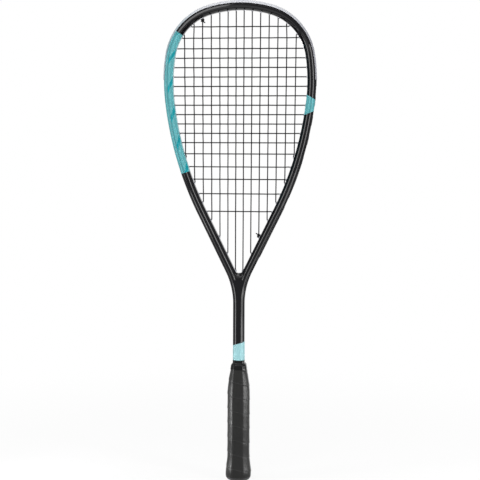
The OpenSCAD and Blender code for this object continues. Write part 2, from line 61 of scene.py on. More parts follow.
# The tube's middle line from the crown down the right: four arcs, then the straight leg
turns = np.cumsum(np.radians([0, 16.4, 64.6, 15.6, 19.5]))
bends = [154, 0, 240, 477]
bends[1] = ((head_width / 2 - tube_half - bends[0] * math.sin(turns[1])
             - bends[2] * (1 - math.sin(turns[2])))
            / (math.sin(turns[2]) - math.sin(turns[1])))
ARCS = len(bends)
crown = racket_length - guard_proud - tube_half
hubs = [np.array([0, crown - bends[0]])]
for i in range(1, ARCS):
    hubs.append(hubs[-1] + (bends[i - 1] - bends[i]) * outward(turns[i]))
arc_ends = np.concatenate([[0], np.cumsum(np.array(bends) * np.diff(turns))])
leg_start, leg_turn = arc_ends[-1], turns[-1]
leg_top, leg_way = hubs[-1] + bends[-1] * outward(leg_turn), onward(leg_turn)
shaft_line = shaft_width / 2 - tube_half
leg_length = (leg_top[0] - shaft_line - throat_bend * (1 - math.cos(leg_lean))) / math.sin(leg_lean)
line_end = leg_start + leg_length
leg_foot = (leg_top + leg_length * leg_way)[1]
shaft_top = leg_foot - throat_bend * math.sin(leg_lean)
throat_hub = shaft_line + throat_bend


def tube_at(along):
    """Middle point and outward turn of the right half of the tube, at a length from the crown."""
    i = min(int(np.searchsorted(arc_ends, along, "right")) - 1, ARCS)
    if i == ARCS:
        return leg_top + (along - leg_start) * leg_way, leg_turn
    turn = turns[i] + (along - arc_ends[i]) / bends[i]
    return hubs[i] + bends[i] * outward(turn), turn


def changed(along, start, length):
    """Zero before a change that starts at a place, one after its length, and a smooth rise between."""
    t = min(max((along - start) / length, 0), 1)
    return t * t * (3 - 2 * t)


# Half of the outline across the tube, from the middle of the inside round the front to the groove
WALL_POINTS, ARC_POINTS, BETWEEN = 7, 7, 2


def filleted(corners):
    """A line through corners (across, height, radius), each rounded, with points on its straights."""
    marks = [np.array(corners[0][:2], float)]
    for before, here, after in zip(corners, corners[1:], corners[2:]):
        here, radius = np.array(here[:2], float), here[2]
        back, on = np.array(before[:2]) - here, np.array(after[:2]) - here
        back, on = back / np.linalg.norm(back), on / np.linalg.norm(on)
        half = math.acos(float(back @ on)) / 2
        hub = here + (back + on) / np.linalg.norm(back + on) * radius / math.sin(half)
        reach, sweep = radius / math.tan(half), math.pi - 2 * half
        first, last = here + back * reach - hub, here + on * reach - hub
        arc = [hub + (math.sin((1 - t) * sweep) * first + math.sin(t * sweep) * last) / math.sin(sweep)
               for t in np.linspace(0, 1, ARC_POINTS)]
        marks += [marks[-1] + (arc[0] - marks[-1]) * t for t in np.linspace(0, 1, BETWEEN + 2)[1:-1]]
        marks += arc
    return [tuple(mark) for mark in marks] + [tuple(corners[-1][:2])]


# Where the outline changes along the tube: the start and the length of each change
crown_change, flat_change, shaft_change = (85, 40), (20, 90), (330, 90)
face_start, flat_end, bevel_middle, bevel_end, ridge_end = -1.0, 1.4, 2.9, 3.9, -2.6
face_lean, crown_lean, shoulder_lean, shoulder = 1, 5, 5.5, 95
upper_bevel, lower_bevel = 27.2, 33
upper_more, lower_more, bevel_more = 1.3, 1, 0.3
crown_flat, ridge_share, ridge_slope = 2.6, 0.8, math.tan(math.radians(34.5))
inner_wall, crown_cut, outer_wall = 4.6, 1.4, 5
face_round, edge_round, flat_round, ridge_round = 1.5, 1.2, 0.8, 0.6


def tube_outline(along):
    """The outline at a length from the crown, where the face leans out. The shaft's bevel is wider."""
    at_crown, on_shaft = 1 - changed(along, *crown_change), changed(along, *shaft_change)
    out_lean = face_lean + at_crown * (crown_lean + shoulder_lean * min(along / shoulder, 1))
    front = [(face_start, tube_front, face_round)]
    for end, lean, radius in (
            (flat_end, out_lean, face_round),
            (bevel_middle, upper_bevel + upper_more * on_shaft, face_round),
            (bevel_end + bevel_more * on_shaft, lower_bevel + lower_more * on_shaft, edge_round)):
        before, height = front[-1][:2]
        front.append((end, height - (end - before) * math.tan(math.radians(lean)), radius))
    flat = crown_flat * (1 - changed(along, *flat_change))
    flat_edge, ridge_foot = -flat_end - flat, ridge_end - ridge_share * flat
    ridge_height = tube_front - (flat_edge - ridge_foot) * ridge_slope
    line = filleted([(-tube_half, 0), (-tube_half, inner_wall - crown_cut * at_crown, edge_round),
                     (ridge_foot, ridge_height, ridge_round), (flat_edge, tube_front, flat_round),
                     *front, (tube_half, outer_wall, edge_round), (tube_half, groove_width / 2)])
    wall_top = BETWEEN + 1
    wall = [(-tube_half, h) for h in np.linspace(0, line[wall_top][1], WALL_POINTS)]
    return wall + line[wall_top + 1:]


front_line = np.array([point for point in tube_outline(line_end)[WALL_POINTS - 1:]
                       if point[0] < tube_half - 0.001])


def front_height(across):
    """Height of the tube's front over its middle plane, at a distance from its middle line."""
    return float(np.interp(across, front_line[:, 0], front_line[:, 1]))


# The throat, cut level by level: the legs sweep into the shaft and a web rounds off the notch
inner_bend = throat_bend + tube_half
notch_height = shaft_top + math.sqrt((inner_bend + notch_radius) ** 2 - throat_hub ** 2)
notch_floor = notch_height - notch_radius
notch_side = notch_height + notch_radius * (shaft_top - notch_height) / (inner_bend + notch_radius)
web_line = np.array([(0, 0), (0.12, 2.5), (0.3, 3.6), (0.7, 4.4), (4.2, 6.67), (4.7, 6.95),
                     (5.3, 7.15), (6, 7.3), (7, 7.45), (8.5, 7.64), (10, 7.8), (12, 8), (14, 8.17),
                     (16, 8.33), (18, 8.45), (20, 8.52)])
web_change, ridge_change = (3, 16), (8, 8)
SOFT = 1


def throat_x(across, z):
    """How far the right leg or the shaft lies from the middle at a level."""
    along = (z - leg_top[1] - across * math.cos(leg_turn)) / leg_way[1]
    if along < leg_length:
        return leg_top[0] + across * math.sin(leg_turn) + along * leg_way[0]
    if z > shaft_top:
        return throat_hub - math.sqrt((throat_bend - across) ** 2 - (z - shaft_top) ** 2)
    return shaft_line + across


def web_height(x, z):
    past = math.hypot(x, z - notch_height) - notch_radius
    return float(np.interp(past, web_line[:, 0], web_line[:, 1]))


def joined(a, b):
    """The higher of two heights, softened where they meet."""
    apart = abs(a - b)
    return (a + b + math.sqrt(apart ** 2 + SOFT ** 2)) / 2 - SOFT ** 2 / (2 * (apart + SOFT))


def level_ring(z):
    """Points (x, height, z, across) round the right half of the throat or the shaft, at one level."""
    inside = throat_x(-tube_half, z)
    outline = tube_outline(line_end + leg_foot - z) + [(tube_half, 0)] * 2
    if z >= notch_side:
        return [(throat_x(d, z), h, z, d) for d, h in outline]
    lip = math.sqrt(notch_radius ** 2 - (z - notch_height) ** 2) if z > notch_floor else 0
    below = notch_floor - z
    web_fade, ridge_fade = changed(below, *web_change), changed(below, *ridge_change)
    ring = []
    for k in range(WALL_POINTS):
        x = lip + max(inside - lip, 0) * k / (WALL_POINTS - 1)
        h = web_height(x, z)
        ring.append((x, h + (tube_front - h) * web_fade, z, -tube_half))
    for d, h in outline[WALL_POINTS:]:
        x = throat_x(d, z)
        if d < bevel_end:
            if x < 0:
                x = 0
                d = throat_bend - math.hypot(throat_hub, max(z - shaft_top, 0))
            if d < flat_end:
                web, ridge, flat = web_height(x, z), front_height(d), front_height(max(d, 0))
                ridge, web = ridge + (flat - ridge) * ridge_fade, web + (flat - web) * web_fade
                h = min(joined(ridge, web), tube_front)
        ring.append((x, h, z, d))
    if inside <= 0:
        ring[:WALL_POINTS] = [ring[WALL_POINTS]] * WALL_POINTS
    return ring


# Past the start of the leg, the rings turn from square across the tube to level
levelling = (5, 55)


def hoop_ring(along):
    """Points (x, height, z, across) round the right half of the hoop, level towards the throat."""
    middle, turn = tube_at(along)
    level = changed(along - leg_start, *levelling)
    ring = []
    for d, h in tube_outline(along) + [(tube_half - groove_depth, h) for h in (groove_width / 2, 0)]:
        spot = middle + d * outward(turn)
        if level:
            spot = spot + leg_way * level * (middle[1] - spot[1]) / leg_way[1]
        ring.append((spot[0], h, spot[1], d))
    return ring


hoop_step, level_step, hoop_end = 2.5, 1.5, line_end - 20
hoop_steps = np.arange(0, hoop_end, hoop_step)
last_level = tube_at(hoop_steps[-1])[0][1]
level_spans = [(last_level - level_step, notch_side + 0.5, -level_step),
               (notch_side, notch_floor + 0.1, -0.25), (notch_floor, notch_floor - 2.1, -0.25),
               (notch_floor - 2.5, notch_floor - 16, -0.5), (notch_floor - 16.5, shaft_top - 6, -1)]
level_steps = np.concatenate([np.arange(*span) for span in level_spans]
                             + [np.linspace(shaft_top - 8, shaft_foot, 30)])
lengths = np.concatenate([hoop_steps, line_end + (leg_foot - level_steps)])
rings = [hoop_ring(s) for s in hoop_steps] + [level_ring(z) for z in level_steps]
METRES, WELD, SLIVER = 0.001, 2e-6, 1e-6


def new_piece(name, points, faces, slot, stands_for, sharp=40, **marks):
    """A piece from points in millimetres, with smooth faces, riding on the racket's one body."""
    mesh = bpy.data.meshes.new(name)
    spots = [tuple(METRES * float(c) for c in p) for p in points]
    mesh.from_pydata(spots, [], [tuple(f) for f in faces])
    for mark, values in marks.items():
        attribute = mesh.attributes.new(mark, "FLOAT", "POINT")
        attribute.data.foreach_set("value", np.array(values, np.float32))
    shape = bmesh.new()
    shape.from_mesh(mesh)
    bmesh.ops.remove_doubles(shape, verts=shape.verts, dist=WELD)
    bmesh.ops.dissolve_degenerate(shape, edges=shape.edges, dist=SLIVER)
    bmesh.ops.recalc_face_normals(shape, faces=shape.faces)
    shape.to_mesh(mesh)
    shape.free()
    mesh.shade_smooth()
    mesh.set_sharp_from_angle(angle=math.radians(sharp))
    piece = bpy.data.objects.new(name, mesh)
    bpy.context.scene.collection.objects.link(piece)
    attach(piece, "root")
    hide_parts(*stands_for)
    return piece


def grid_faces(rows, columns, closed=False, start=0):
    """Faces between the rows of a grid of points, each row closed to a ring if asked."""
    return [(start + i * columns + j, start + i * columns + (j + 1) % columns,
             start + (i + 1) * columns + (j + 1) % columns, start + (i + 1) * columns + j)
            for i in range(rows - 1) for j in range(columns if closed else columns - 1)]


def end_faces(count, columns):
    """The faces that close the first and the last ring of a number of points."""
    return [list(range(columns)), list(range(count - columns, count))]


tube_points, tube_faces, tube_along, tube_across = [], [], [], []
for side in (1, -1):
    start = len(tube_points)
    for length, ring in zip(lengths, rings):
        whole = [(x, -h, z, d) for x, h, z, d in ring] + [(x, h, z, d) for x, h, z, d in ring[-2::-1]]
        tube_points += [(side * x, y, z) for x, y, z, d in whole]
        tube_along += [length] * len(whole)
        tube_across += [d for x, y, z, d in whole]
    tube_faces += grid_faces(len(rings), len(whole), start=start)
    tube_faces.append(end_faces(len(tube_points), len(whole))[1])
tube = new_piece("frame_tube", tube_points, tube_faces, "frame_lacquer", ["frame"],
                 along=tube_along, across=tube_across)


class Value:
    """A number that varies over a surface: arithmetic on it adds Math nodes."""

    def __init__(self, finish, socket):
        self.finish, self.socket = finish, socket

    def math(self, operation, *others):
        return self.finish.node("ShaderNodeMath", {"operation": operation}, [self, *others])

    def __add__(self, other):
        return self.math("ADD", other)

    def __sub__(self, other):
        return self.math("SUBTRACT", other)

    def __rsub__(self, other):
        return self.finish.node("ShaderNodeMath", {"operation": "SUBTRACT"}, [other, self])

    def __mul__(self, other):
        return self.math("MULTIPLY", other)

    def __truediv__(self, other):
        return self.math("DIVIDE", other)

    __radd__, __rmul__ = __add__, __mul__

    def above(self, level, blur):
        """One where the value is above a level and zero below it, over a short blur."""
        ends = {"From Min": level - blur / 2, "From Max": level + blur / 2}
        return self.finish.node("ShaderNodeMapRange", {"interpolation_type": "SMOOTHSTEP"},
                                {"Value": self, **ends})


class Nodes:
    """A tree of shader nodes. Each comes from node(): its settings are set first, then its sockets."""

    def __init__(self, tree):
        self.tree = tree

    def node(self, kind, settings=None, sockets=None, output=0):
        made = self.tree.nodes.new(kind)
        for key, value in (settings or {}).items():
            setattr(made, key, value)
        pairs = sockets.items() if isinstance(sockets, dict) else enumerate(sockets or [])
        for key, value in pairs:
            socket = made.inputs[key]
            if isinstance(value, Value):
                self.tree.links.new(value.socket, socket)
            else:
                socket.default_value = (*value, 1) if socket.type == "RGBA" else value
        return Value(self, made.outputs[output])


class Finish(Nodes):
    """One material, with its constants on the shader's own sockets. dress() puts it on a piece."""

    def __init__(self, name, **constants):
        self.material = bpy.data.materials.new(name)
        self.material.use_nodes = True
        super().__init__(self.material.node_tree)
        self.shader = self.tree.nodes["Principled BSDF"]
        for socket, value in constants.items():
            self.shader.inputs[socket.replace("_", " ")].default_value = value

    def set(self, **links):
        for socket, value in links.items():
            self.tree.links.new(value.socket, self.shader.inputs[socket.replace("_", " ")])

    def mark(self, name):
        """A number that was marked on the points of the piece."""
        return self.node("ShaderNodeAttribute", {"attribute_name": name}, output="Fac")

    def noise(self, scale, detail, roughness=0.5, stretch=(1, 1, 1)):
        place = self.node("ShaderNodeTexCoord", output="Object")
        place = self.node("ShaderNodeVectorMath", {"operation": "MULTIPLY"}, [place, stretch])
        return self.node("ShaderNodeTexNoise", None,
                         {"Vector": place, "Scale": scale, "Detail": detail, "Roughness": roughness})

    def mixed(self, share, first, second):
        return self.node("ShaderNodeMix", {"data_type": "RGBA"}, {0: share, 6: first, 7: second},
                         output=2)

    def bumped(self, height, distance, strength):
        self.set(Normal=self.node("ShaderNodeBump", None,
                                  {"Height": height, "Distance": distance, "Strength": strength}))

    def dress(self, *pieces):
        for piece in pieces:
            if not piece.material_slots:
                piece.data.materials.append(self.material)
            for slot in piece.material_slots:
                slot.material = self.material


# The paint's fields, in lengths from the crown and heights over the butt, and the dashes in one of them
to_mm, paint_blur = 1000, 0.5
left_start, left_end = 98.4, 300.3
right_start, right_slant, right_end, right_end_slant = 191.1, 0.49, 213.7, 0.6
band_foot, band_top, band_slant = 175.5, 200.7, 0.31
dash_slant, dash_pitch, dash_start, dash_end, dash_blur = 2.2, 41, 0.30, 0.52, 0.02
lacquer = Finish("gloss_lacquer", IOR=1.25)
along, across = lacquer.mark("along"), lacquer.mark("across")
spot = lacquer.node("ShaderNodeTexCoord", output="Object")
spot_x = lacquer.node("ShaderNodeSeparateXYZ", None, [spot], output="X") * to_mm
spot_z = lacquer.node("ShaderNodeSeparateXYZ", None, [spot], output="Z") * to_mm
on_right = spot_x.above(0, 0.1)
left_field = ((1 - on_right) * along.above(left_start, paint_blur)
              * (1 - along.above(left_end, paint_blur)))
right_field = (on_right * (along - across * right_slant).above(right_start, paint_blur)
               * (1 - (along + across * right_end_slant).above(right_end, paint_blur)))
fields = left_field + right_field
shaft_band = (spot_z.above(band_foot, paint_blur)
              * (1 - (spot_z - spot_x * band_slant).above(band_top, paint_blur)))
dash_place = (along - across * dash_slant) / dash_pitch
dash_share = dash_place - lacquer.node("ShaderNodeMath", {"operation": "FLOOR"}, [dash_place])
dashes = dash_share.above(dash_start, dash_blur) * (1 - dash_share.above(dash_end, dash_blur))
dashes = dashes * (1 - across.above(0.6, 0.4)) * left_field
# Painted shade: the turquoise and the pale band are painted darker on the tube's outer edge, and the
# turquoise also in a band beside the bevel, where those facets turn from the light
painted_edge_shade = across.above(4.3, 1.6) * 0.34
painted_bevel_shade = (across.above(0.2, 1.2) - across.above(2.4, 1)) * 0.55
flake = lacquer.noise(900, 2) * 0.5
black = lacquer.mixed(flake, (0.002, 0.002, 0.003), (0.006, 0.006, 0.007))
turquoise = lacquer.mixed(flake, (0.1, 0.364, 0.393), (0.108, 0.374, 0.407))
turquoise = lacquer.mixed(painted_edge_shade + painted_bevel_shade, turquoise, (0.02, 0.12, 0.14))
pale = lacquer.mixed(painted_edge_shade, (0.275, 0.495, 0.525), (0.115, 0.235, 0.255))
colour = lacquer.mixed(fields, black, turquoise)
colour = lacquer.mixed(dashes, colour, (0.005, 0.27, 0.315))
colour = lacquer.mixed(shaft_band, colour, pale)
scuffs = lacquer.noise(140, 4, 0.6, (1, 1, 0.25))
lacquer.set(Base_Color=colour, Roughness=0.05 + scuffs * 0.06 + fields * 0.2 + shaft_band * 0.32)
lacquer.bumped(lacquer.noise(220, 2), 0.00003, 0.1)
lacquer.dress(tube)

# Bumper guard: a pale nylon moulding that wraps the outside of the crown and takes the knocks.
# The string holes' barrels are moulded on, it sits in the frame's groove and the strings hold it.
guard_end, crown_wrap, end_wrap, wrap_start, strip_thickness = 166.9, 3.0, 1.4, 20, 1
string_thickness = 1.65
lane = 1.12 * string_thickness
barrel_bore, tie_bore, barrel_wall, barrel_stand = 2, 3.4, 0.6, 1.1
floor, in_groove = tube_half - groove_depth, groove_width / 2 - 0.1
channel = lane + string_thickness / 2 + 0.2
lip_round, lip_middle, bore_round = 0.25, (0.08, 0.07), 0.15
flare, flare_depth, flare_stand = 0.5, 0.4, 0.02
WRAP_POINTS, GUARD_RINGS, BARREL_SIDES = 14, 141, 20


def guard_outline(along):
    """Outline of the guard where it hugs the tube: its wrap narrows towards its ends."""
    narrowed = changed(abs(along), wrap_start, guard_end - wrap_start)
    wrap = crown_wrap + (end_wrap - crown_wrap) * narrowed
    wall_line = np.array(tube_outline(abs(along))[:WALL_POINTS:-1])
    wall_run = np.concatenate([[0], np.cumsum(np.linalg.norm(np.diff(wall_line, axis=0), axis=1))])
    run = np.linspace(0, np.interp(wrap, tube_half - wall_line[:, 0], wall_run), WRAP_POINTS)
    inner = np.column_stack([np.interp(run, wall_run, wall_line[:, c]) for c in (0, 1)])
    ways = np.gradient(inner, axis=0)
    ways /= np.linalg.norm(ways, axis=1)[:, None]
    outer = inner + guard_proud * np.column_stack([ways[:, 1], -ways[:, 0]])
    lip = (inner[-1] + outer[-1]) / 2 + lip_round * ways[-1]
    outside = tube_half + guard_proud
    half = ([(floor, in_groove), (tube_half, in_groove)]
            + [tuple(p) for p in (*inner, lip, *outer[::-1])]
            + [(outside, channel + lip_round), (outside - lip_middle[0], channel + lip_middle[0]),
               (outside - lip_round, channel), (floor + strip_thickness, channel)])
    return [(d, -h) for d, h in half] + [(d, h) for d, h in half[::-1]]


def swept(outline_at, steps):
    """Rings of an outline across the tube, at signed lengths from the crown: left ones are negative."""
    points = []
    for along in steps:
        middle, turn = tube_at(abs(along))
        side = -1 if along < 0 else 1
        for d, y in outline_at(along):
            x, z = middle + d * outward(turn)
            points.append((side * x, y, z))
    return points


guard_steps = np.linspace(-guard_end, guard_end, GUARD_RINGS)
guard_points = swept(guard_outline, guard_steps)
ring_size = len(guard_outline(0))
guard_along = list(np.repeat(guard_steps, ring_size))
guard_faces = grid_faces(GUARD_RINGS, ring_size, closed=True) + end_faces(len(guard_points), ring_size)

# Where the strings pass through the tube
mains_a_side, tie_top, tie_low = 7, 5, 3
main_gap, gap_growth, fan, fan_start = 11.1, 0.32, 0.0115, 40
cross_gaps = [29.2, 15.8, 14.7] + [13.2] * 10 + [15.8, 18.4, 17.6, 20.6, 25.1]
cross_heights = list(crown - np.cumsum(cross_gaps))
turn_across = -(tube_half + 0.6 + string_thickness / 2)
widest = arc_ends[2] + bends[2] * (math.pi / 2 - turns[2])
hole_room, HALVINGS = 5.5, 40


def tube_point(along, across):
    middle, turn = tube_at(along)
    return middle + across * outward(turn)


def main_x(k, z):
    """Where a main is at a height, counted from the middle: the mains draw in towards the throat."""
    return ((main_gap * (k - 0.5) + gap_growth * k * (k - 1) / 2)
            * (1 - fan * (crown - fan_start - z) / 100))


def falls_through(f, low, high):
    """Where a falling function passes zero."""
    for _ in range(HALVINGS):
        middle = (low + high) / 2
        low, high = (middle, high) if f(middle) > 0 else (low, middle)
    return low


cross_holes = [falls_through(lambda s: tube_point(s, turn_across)[1] - z, 0, line_end)
               for z in cross_heights]


def clear_of_crosses(along, way):
    near = [c for c in cross_holes if abs(along - c) < hole_room]
    return near[0] + hole_room * way if near else along


def over_main(k, s):
    x, z = tube_point(s, turn_across)
    return main_x(k, z) - x


top_holes = [clear_of_crosses(falls_through(lambda s: over_main(k, s), 0, widest), -1)
             for k in range(1, mains_a_side + 1)]
low_holes = [line_end] + [
    clear_of_crosses(falls_through(lambda s: -over_main(k, s), widest, line_end), 1)
    for k in range(2, mains_a_side + 1)]
holes = ([(s, tie_bore if k == tie_top else barrel_bore) for k, s in enumerate(top_holes, 1)]
         + [(s, tie_bore if k == tie_low else barrel_bore) for k, s in enumerate(low_holes, 1) if k > 1]
         + [(s, barrel_bore) for s in cross_holes])


def circle(steps):
    return np.linspace(0, 2 * math.pi, steps, endpoint=False)


def barrels(side, first, last, start):
    """Barrels with rolled lips, lining the holes between two lengths along one side of the tube."""
    points, faces = [], []
    tip, strip_top = -tube_half - barrel_stand, floor + strip_thickness
    for along, bore in holes:
        if not first < along < last:
            continue
        r, wall = bore / 2, bore / 2 + barrel_wall
        profile = [(wall, floor), (wall, tip + lip_round), (wall - lip_middle[0], tip + lip_middle[1]),
                   (wall - lip_round, tip), (r + bore_round, tip), (r, tip + bore_round),
                   (r, strip_top - flare_depth), (r + flare, strip_top + flare_stand), (wall, floor)]
        middle, turn = tube_at(along)
        faces += grid_faces(len(profile), BARREL_SIDES, closed=True, start=start + len(points))
        for radius, d in profile:
            for a in circle(BARREL_SIDES):
                x, z = middle + d * outward(turn) + radius * math.cos(a) * onward(turn)
                points.append((side * x, radius * math.sin(a), z))
    return points, faces


for side in (1, -1):
    points, faces = barrels(side, 0, guard_end, len(guard_points))
    guard_faces += faces
    guard_points += points
    guard_along += [0] * len(points)
guard = new_piece("bumper_guard_moulding", guard_points, guard_faces, "guard_nylon", ["bumper_guard"],
                  sharp=50, along=guard_along)

# Painted shade: down each side the nylon is painted darker, in the tone of the paint beneath it,
# standing in for the shade and the paint showing through the frosted nylon
side_start, side_blur, painted_side_shade = 85, 90, 0.8
nylon = Finish("pale_nylon", Roughness=0.5, IOR=1.46)
mottle = nylon.noise(60, 4, 0.6)
length = nylon.mark("along")
right_shaded, left_shaded = length.above(side_start, side_blur), 1 - length.above(-side_start, side_blur)
rubbed = nylon.noise(300, 3, 0.7, (1, 1, 0.3))
frosted = nylon.mixed(mottle, (0.54, 0.55, 0.585), (0.65, 0.66, 0.695))
frosted = nylon.mixed(right_shaded * painted_side_shade, frosted, (0.19, 0.19, 0.215))
frosted = nylon.mixed(left_shaded * painted_side_shade, frosted, (0.17, 0.28, 0.32))
nylon.set(Base_Color=frosted, Roughness=0.38 + rubbed * 0.25)
nylon.bumped(nylon.noise(1400, 3), 0.00005, 0.12)
nylon.dress(guard)

# Grommet strips: nylon strips in the groove below the guard, one down each side, with their barrels.
# The two middle mains turn back in a bent nylon tube set in the throat.
strip_start, strip_end, STRIP_RINGS = guard_end + 0.2, low_holes[1] + 8, 90
strip_nylon = Finish("grey_nylon", Roughness=0.5, IOR=1.46)
strip_mottle = strip_nylon.noise(90, 4, 0.6)
strip_nylon.set(Base_Color=strip_nylon.mixed(strip_mottle, (0.30, 0.31, 0.34), (0.38, 0.39, 0.43)),
                Roughness=0.4 + strip_mottle * 0.2)
strip_nylon.bumped(strip_nylon.noise(1400, 3), 0.00005, 0.35)
strip_outline = [(floor, -in_groove), (floor, in_groove), (floor + strip_thickness, in_groove),
                 (floor + strip_thickness, -in_groove)]
for side, name in ((-1, "left"), (1, "right")):
    points = swept(lambda along: strip_outline, side * np.linspace(strip_start, strip_end, STRIP_RINGS))
    faces = grid_faces(STRIP_RINGS, len(strip_outline), closed=True)
    faces += end_faces(len(points), len(strip_outline))
    more, more_faces = barrels(side, guard_end, strip_end, len(points))
    strip = new_piece(name + "_strip_moulding", points + more, faces + more_faces, "guard_nylon",
                      [name + "_grommet_strip"], sharp=50)
    strip_nylon.dress(strip)
strip_nylon.dress(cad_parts["throat_grommet"])

# String: one length of black coated nylon, wound round a core and pulled tight through every hole.
# Its mains run up and down, its crosses weave over and under them, and each end is knotted to a main.
weave, tie_side = string_thickness / 2 + 0.02, string_thickness / 2 + 0.04
lie = floor + strip_thickness + string_thickness / 2
lead, lay_step = 1.8 * string_thickness, 9
bend_height, bend_tip, bend_lead = notch_floor - 4, notch_floor + 4.5, 4
bend_x = main_x(1, bend_height)
coil, coil_turns, coil_start = 1.15 * string_thickness, 2, 0.2 * string_thickness
tail_out, tail_on = 2.4 * string_thickness, 3.4 * string_thickness


def place(side, along, across, y):
    x, z = tube_point(along, across)
    return (side * x, y, z)


def through(side, along, y):
    return [place(side, along, lie, y), place(side, along, turn_across, y)]


def lay(side, start, end, y):
    """The string along the groove, from one hole to another."""
    way = lead if end > start else -lead
    steps = max(1, math.ceil(abs(end - start - 2 * way) / lay_step))
    return [place(side, s, lie, y) for s in np.linspace(start + way, end - way, steps + 1)]


def side_of(main):
    return 1 if main > mains_a_side else -1


def from_middle(main):
    return main - mains_a_side if main > mains_a_side else mains_a_side + 1 - main


def passes(k, j):
    """Whether a main and a cross meet inside the hoop."""
    z, room = cross_heights[j], 2 * string_thickness
    return (z < tube_point(top_holes[k - 1], turn_across)[1] - room
            and (k == 1 or z > tube_point(low_holes[k - 1], turn_across)[1] + room))


def over(main, j):
    return 1 if (main + j + 1) % 2 == 0 else -1


def down_main(main):
    k, side = from_middle(main), side_of(main)
    route = through(side, top_holes[k - 1], tie_side if k == tie_top else 0)
    route += [(side * main_x(k, z), over(main, j) * weave, z)
              for j, z in enumerate(cross_heights) if passes(k, j)]
    if k == 1:
        above_bend = bend_tip + bend_lead
        return route + [(side * main_x(1, above_bend), 0, above_bend), (side * bend_x, 0, bend_tip),
                        (side * bend_x, 0, bend_height)]
    return route + through(side, low_holes[k - 1], tie_side if k == tie_low else 0)[::-1]


def right_cross(j):
    z = cross_heights[j]
    return (through(-1, cross_holes[j], 0)
            + [(side_of(main) * main_x(from_middle(main), z), -over(main, j) * weave, z)
               for main in range(1, 2 * mains_a_side + 1) if passes(from_middle(main), j)]
            + through(1, cross_holes[j], 0)[::-1])


def tie_off(side, along, k, way):
    """The string's end: back through a hole, two turns round the main there, and a short tail."""
    turn = place(side, along, turn_across, -tie_side)
    start = turn[2] - way * coil_start
    route = [place(side, along, lie, -tie_side), turn]
    for t in np.linspace(0, coil_turns, 25):
        z, angle = start + way * t * coil, 2 * math.pi * t
        x, y = main_x(k, z) - coil * math.sin(angle), tie_side - coil * math.cos(angle)
        route.append((side * x, y, z))
    return route + [(side * (main_x(k, start) - tail_out), tie_side - coil, start + way * tail_on)]


halfway = [place(1, (top_holes[-1] + cross_holes[0]) / 2, lie, 0)]
main_route = (tie_off(-1, top_holes[tie_top - 1], tie_top, -1)[::-1]
              + lay(-1, top_holes[tie_top - 1], top_holes[tie_top] + 2 * lead, -lane)
              + lay(-1, cross_holes[0] - 2 * lead, top_holes[-1], lane))
for main in range(1, 2 * mains_a_side + 1):
    here, after = from_middle(main) - 1, from_middle(main + 1) - 1
    main_route += down_main(main) if main % 2 else down_main(main)[::-1]
    if main == mains_a_side:
        main_route += [(-bend_x * math.cos(a), 0, bend_height - bend_x * math.sin(a))
                       for a in np.linspace(0, math.pi, 11)[1:-1]]
    elif main < 2 * mains_a_side:
        ends = low_holes if main % 2 else top_holes
        main_route += lay(side_of(main), ends[here], ends[after], lane)
main_route += halfway
cross_route = list(halfway)
for j in range(len(cross_heights)):
    if j:
        cross_route += lay(-1 if j % 2 else 1, cross_holes[j - 1], cross_holes[j], -lane)
    cross_route += right_cross(j) if j % 2 else right_cross(j)[::-1]
tie_hole = low_holes[tie_low - 1]
cross_route += lay(1, cross_holes[-1], tie_hole, -lane) + tie_off(1, tie_hole, tie_low, 1)

# How the string bends: corners sharper than this turn are rounded, and long runs stay straight
soft_turn, bend_radius, most_cut = math.radians(30), 1.6 * string_thickness, 0.45
too_near, long_run, run_end = 0.05, 8, 2.4
STRING_SIDES, thread_pitch = 10, 0.45


def pulled(route):
    """A route with its corners rounded as far as the string bends, and a smooth line through it."""
    route = np.array(route, float)
    rounded = [route[0]]
    for a, b, c in zip(route, route[1:], route[2:]):
        back, on = a - b, c - b
        near, far = np.linalg.norm(back), np.linalg.norm(on)
        turn = math.acos(max(-1, min(1, -float(back @ on) / (near * far))))
        if turn < soft_turn:
            rounded.append(b)
            continue
        cut = min(bend_radius * math.tan(turn / 2), most_cut * near, most_cut * far)
        p, q = b + back / near * cut, b + on / far * cut
        rounded += [(1 - t) ** 2 * p + 2 * t * (1 - t) * b + t * t * q for t in np.linspace(0, 1, 6)]
    rounded = np.array(rounded + [route[-1]])
    apart = np.linalg.norm(np.diff(rounded, axis=0), axis=1) > too_near
    rounded = rounded[np.concatenate([[True], apart])]
    knots = [rounded[0]]
    for spot in rounded[1:]:
        step = spot - knots[-1]
        gap = np.linalg.norm(step)
        if gap > long_run:
            knots += [knots[-1] + step * run_end / gap, spot - step * run_end / gap]
        knots.append(spot)
    knots = np.array(knots)
    gaps = np.linalg.norm(np.diff(knots, axis=0), axis=1)
    slopes = np.gradient(knots, np.concatenate([[0], np.cumsum(gaps)]), axis=0)
    line = []
    for p, q, m, n, gap in zip(knots, knots[1:], slopes, slopes[1:], gaps):
        for t in np.linspace(0, 1, 8 if gap > 6 else 4 if gap > 2 else 2, endpoint=False):
            line.append((2 * t ** 3 - 3 * t ** 2 + 1) * p + (t ** 3 - 2 * t ** 2 + t) * gap * m
                        + (3 * t ** 2 - 2 * t ** 3) * q + (t ** 3 - t ** 2) * gap * n)
    return np.array(line + [knots[-1]])


